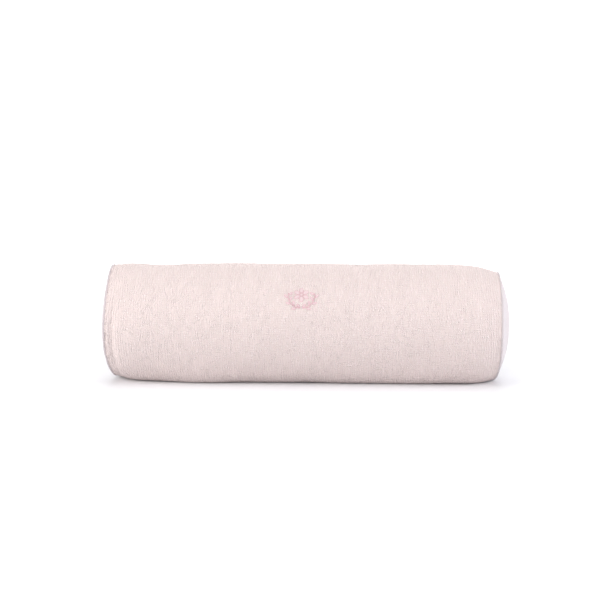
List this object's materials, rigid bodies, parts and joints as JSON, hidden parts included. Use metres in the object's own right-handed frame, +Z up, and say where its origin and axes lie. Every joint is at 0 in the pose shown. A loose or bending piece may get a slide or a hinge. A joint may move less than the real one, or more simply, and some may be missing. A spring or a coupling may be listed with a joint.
{
  "type": "bolster pillow",
  "caption": "Round bolster pillow for a treatment table: a washable woven cover with piped, slightly domed ends and a back zip over a wadded foam roll.",
  "frame": {"origin": "middle of the flattened underside, on the surface the pillow lies on", "axes": "+X along the roll towards its right end, -Y towards the embroidered front, +Z up"},
  "size_m": [0.616, 0.1832, 0.1755],
  "materials": {
    "foam": "matte",
    "wadding": "matte",
    "calico": "matte",
    "cover_cloth": "matte",
    "end_cloth": "matte",
    "cotton_cord": "matte",
    "piping_cloth": "matte",
    "embroidery_thread": "satin",
    "backing_felt": "matte",
    "zip_tape": "matte",
    "zip_coil": "satin",
    "stop_metal": "satin",
    "label_satin": "satin",
    "slider_enamel": "gloss"
  },
  "bodies": {
    "bolster": {"foam_core": "foam", "wadding_wrap": "wadding", "wadding_left_end": "wadding", "wadding_right_end": "wadding", "liner_tube": "calico", "liner_left_end": "calico", "liner_right_end": "calico", "cover_tube": "cover_cloth", "cover_left_end": "end_cloth", "cover_right_end": "end_cloth", "left_piping_cord": "cotton_cord", "right_piping_cord": "cotton_cord", "left_piping_sleeve": "piping_cloth", "right_piping_sleeve": "piping_cloth", "embroidered_motif": "embroidery_thread", "embroidery_backing": "backing_felt", "zip_upper_tape": "zip_tape", "zip_lower_tape": "zip_tape", "zip_upper_coil": "zip_coil", "zip_lower_coil": "zip_coil", "zip_top_stops": "stop_metal", "zip_bottom_stop": "stop_metal", "care_label": "label_satin"},
    "slider": {"slider_body": "slider_enamel"},
    "pull": {"slider_pull": "slider_enamel"}
  },
  "joints": [
    {"name": "zip_slide", "type": "slide", "parent": "bolster", "child": "slider", "axis": [-1, 0, 0], "range_m": [0, 0.4439], "deforming": ["zip_upper_coil", "zip_lower_coil"]},
    {"name": "pull_pivot", "type": "hinge", "parent": "slider", "child": "pull", "pos_m": [0.2227, 0.09123, 0.10489], "axis": [0, 0.2079, -0.9781], "range_deg": [0, 175]}
  ]
}
